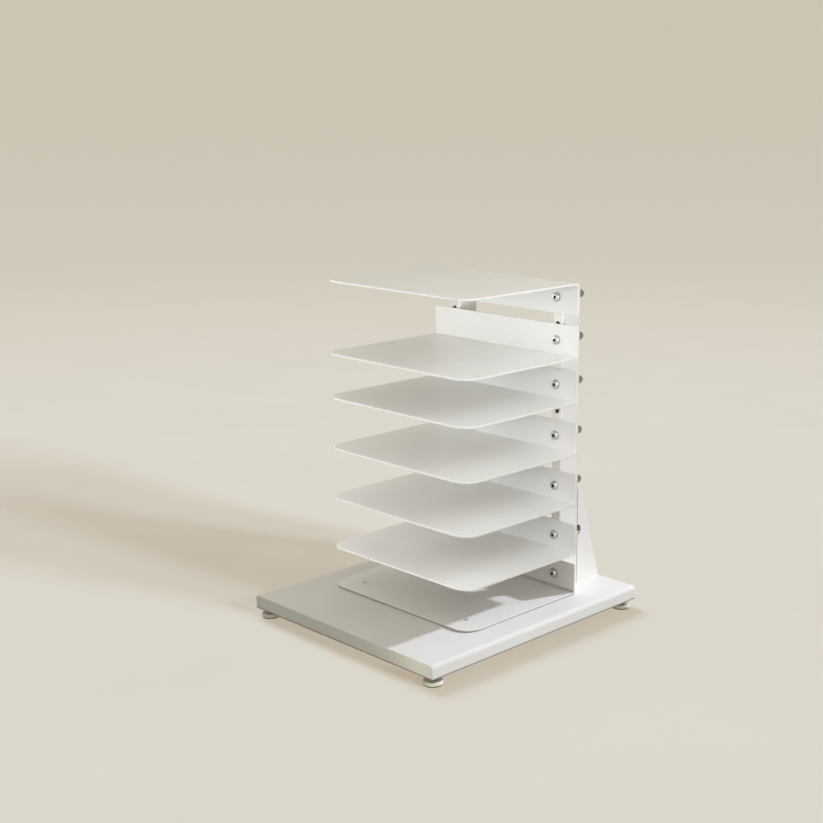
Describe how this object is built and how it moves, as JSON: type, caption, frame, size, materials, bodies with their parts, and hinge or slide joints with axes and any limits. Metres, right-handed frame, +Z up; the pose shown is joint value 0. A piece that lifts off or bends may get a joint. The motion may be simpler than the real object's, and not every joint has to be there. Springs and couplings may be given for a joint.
{
  "type": "board game display tower",
  "caption": "White steel display tower with folded sheet shelves bolted to two posts on a low base with levelling feet.",
  "frame": {"origin": "on the floor under the middle of the base", "axes": "+Z up, -Y towards the open front of the shelves, +X to the right seen from the front"},
  "size_m": [0.388, 0.432, 0.509],
  "materials": {
    "powder_coat": "satin",
    "polished_steel": "polished",
    "zinc_steel": "satin",
    "foot_plastic": "matte",
    "sole_rubber": "matte"
  },
  "bodies": {
    "frame": {"base_tray": "powder_coat", "base_front_strip": "powder_coat", "base_back_strip": "powder_coat", "post_left": "powder_coat", "post_cap_left": "powder_coat", "gusset_left": "powder_coat", "post_right": "powder_coat", "post_cap_right": "powder_coat", "gusset_right": "powder_coat", "bottom_shelf": "powder_coat", "shelf_6": "powder_coat", "shelf_5": "powder_coat", "shelf_4": "powder_coat", "shelf_3": "powder_coat", "shelf_2": "powder_coat", "top_shelf": "powder_coat", "tray_screws": "powder_coat", "shelf_bolts": "polished_steel", "dome_nuts": "polished_steel", "shelf_studs": "zinc_steel", "post_screws": "zinc_steel", "post_washers": "zinc_steel", "post_end_plate_left": "zinc_steel", "post_end_plate_right": "zinc_steel", "foot_sockets": "zinc_steel"},
    "foot_front_left": {"foot_pad_front_left": "foot_plastic", "foot_sole_front_left": "sole_rubber"},
    "stem_front_left": {"foot_stem_front_left": "zinc_steel"},
    "foot_front_right": {"foot_pad_front_right": "foot_plastic", "foot_sole_front_right": "sole_rubber"},
    "stem_front_right": {"foot_stem_front_right": "zinc_steel"},
    "foot_back_left": {"foot_pad_back_left": "foot_plastic", "foot_sole_back_left": "sole_rubber"},
    "stem_back_left": {"foot_stem_back_left": "zinc_steel"},
    "foot_back_right": {"foot_pad_back_right": "foot_plastic", "foot_sole_back_right": "sole_rubber"},
    "stem_back_right": {"foot_stem_back_right": "zinc_steel"}
  },
  "joints": [
    {"name": "foot_height_front_left", "type": "slide", "parent": "frame", "child": "foot_front_left", "axis": [0, 0, -1], "range_m": [0, 0.008]},
    {"name": "foot_turn_front_left", "type": "hinge", "parent": "foot_front_left", "child": "stem_front_left", "pos_m": [-0.1785, -0.2005, 0.014], "axis": [0, 0, -1], "range_deg": [0, 2300]},
    {"name": "foot_height_front_right", "type": "slide", "parent": "frame", "child": "foot_front_right", "axis": [0, 0, -1], "range_m": [0, 0.008]},
    {"name": "foot_turn_front_right", "type": "hinge", "parent": "foot_front_right", "child": "stem_front_right", "pos_m": [0.1785, -0.2005, 0.014], "axis": [0, 0, -1], "range_deg": [0, 2300]},
    {"name": "foot_height_back_left", "type": "slide", "parent": "frame", "child": "foot_back_left", "axis": [0, 0, -1], "range_m": [0, 0.008]},
    {"name": "foot_turn_back_left", "type": "hinge", "parent": "foot_back_left", "child": "stem_back_left", "pos_m": [-0.1785, 0.2005, 0.014], "axis": [0, 0, -1], "range_deg": [0, 2300]},
    {"name": "foot_height_back_right", "type": "slide", "parent": "frame", "child": "foot_back_right", "axis": [0, 0, -1], "range_m": [0, 0.008]},
    {"name": "foot_turn_back_right", "type": "hinge", "parent": "foot_back_right", "child": "stem_back_right", "pos_m": [0.1785, 0.2005, 0.014], "axis": [0, 0, -1], "range_deg": [0, 2300]}
  ],
  "couplings": [
    {"joint": "foot_height_front_left", "follows": "foot_turn_front_left", "m_per_rad": 0.00019894},
    {"joint": "foot_height_front_right", "follows": "foot_turn_front_right", "m_per_rad": 0.00019894},
    {"joint": "foot_height_back_left", "follows": "foot_turn_back_left", "m_per_rad": 0.00019894},
    {"joint": "foot_height_back_right", "follows": "foot_turn_back_right", "m_per_rad": 0.00019894}
  ]
}
